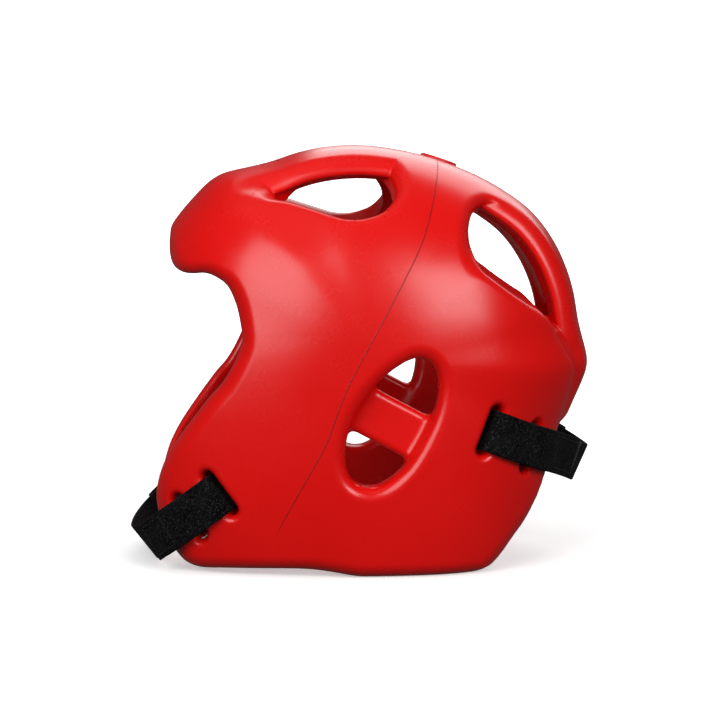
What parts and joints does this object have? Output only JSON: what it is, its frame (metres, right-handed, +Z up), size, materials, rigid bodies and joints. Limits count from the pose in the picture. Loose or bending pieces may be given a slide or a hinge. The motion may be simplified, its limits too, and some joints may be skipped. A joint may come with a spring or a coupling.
{
  "type": "martial arts head guard",
  "caption": "Open-face moulded foam head guard with crown vents, barred ear openings, and webbing chin and nape straps that close with hook-and-loop tails.",
  "frame": {"origin": "middle of the footprint, on the surface the guard stands on", "axes": "+Z up; -X is the way the wearer's face looks; -Y is the wearer's left side"},
  "size_m": [0.2878, 0.208, 0.2541],
  "materials": {
    "foam_skin": "satin dipped skin over closed-cell foam",
    "badge_pvc": "satin",
    "webbing": "woven polypropylene",
    "loop_tape": "brushed loop pile",
    "hook_tape": "moulded hooks on woven tape",
    "thread": "sewing thread"
  },
  "bodies": {
    "shell": {"foam_shell": "foam_skin", "crown_badge": "badge_pvc", "rear_strap": "webbing", "chin_strap": "webbing", "rear_loop_tape_left": "loop_tape", "rear_loop_tape_right": "loop_tape", "chin_loop_tape_left": "loop_tape", "chin_loop_tape_right": "loop_tape"},
    "rear_left_tail": {"rear_tail_left": "webbing", "rear_hook_tape_left": "hook_tape", "rear_hook_stitching_left": "thread"},
    "rear_right_tail": {"rear_tail_right": "webbing", "rear_hook_tape_right": "hook_tape", "rear_hook_stitching_right": "thread"},
    "chin_left_tail": {"chin_tail_left": "webbing", "chin_hook_tape_left": "hook_tape", "chin_hook_stitching_left": "thread"},
    "chin_right_tail": {"chin_tail_right": "webbing", "chin_hook_tape_right": "hook_tape", "chin_hook_stitching_right": "thread"}
  },
  "joints": [
    {"name": "rear_left_tail_peel", "type": "hinge", "parent": "shell", "child": "rear_left_tail", "pos_m": [0.07676, -0.09113, 0.08544], "axis": [-0.3359, -0.1253, -0.9335], "range_deg": [0, 115]},
    {"name": "rear_right_tail_peel", "type": "hinge", "parent": "shell", "child": "rear_right_tail", "pos_m": [0.07676, 0.09113, 0.08544], "axis": [0.3359, -0.1253, 0.9335], "range_deg": [0, 115]},
    {"name": "chin_left_tail_peel", "type": "hinge", "parent": "shell", "child": "chin_left_tail", "pos_m": [-0.09065, -0.08668, 0.04752], "axis": [-0.5798, 0.1494, 0.801], "range_deg": [0, 115]},
    {"name": "chin_right_tail_peel", "type": "hinge", "parent": "shell", "child": "chin_right_tail", "pos_m": [-0.09065, 0.08668, 0.04752], "axis": [0.5798, 0.1494, -0.801], "range_deg": [0, 115]}
  ]
}
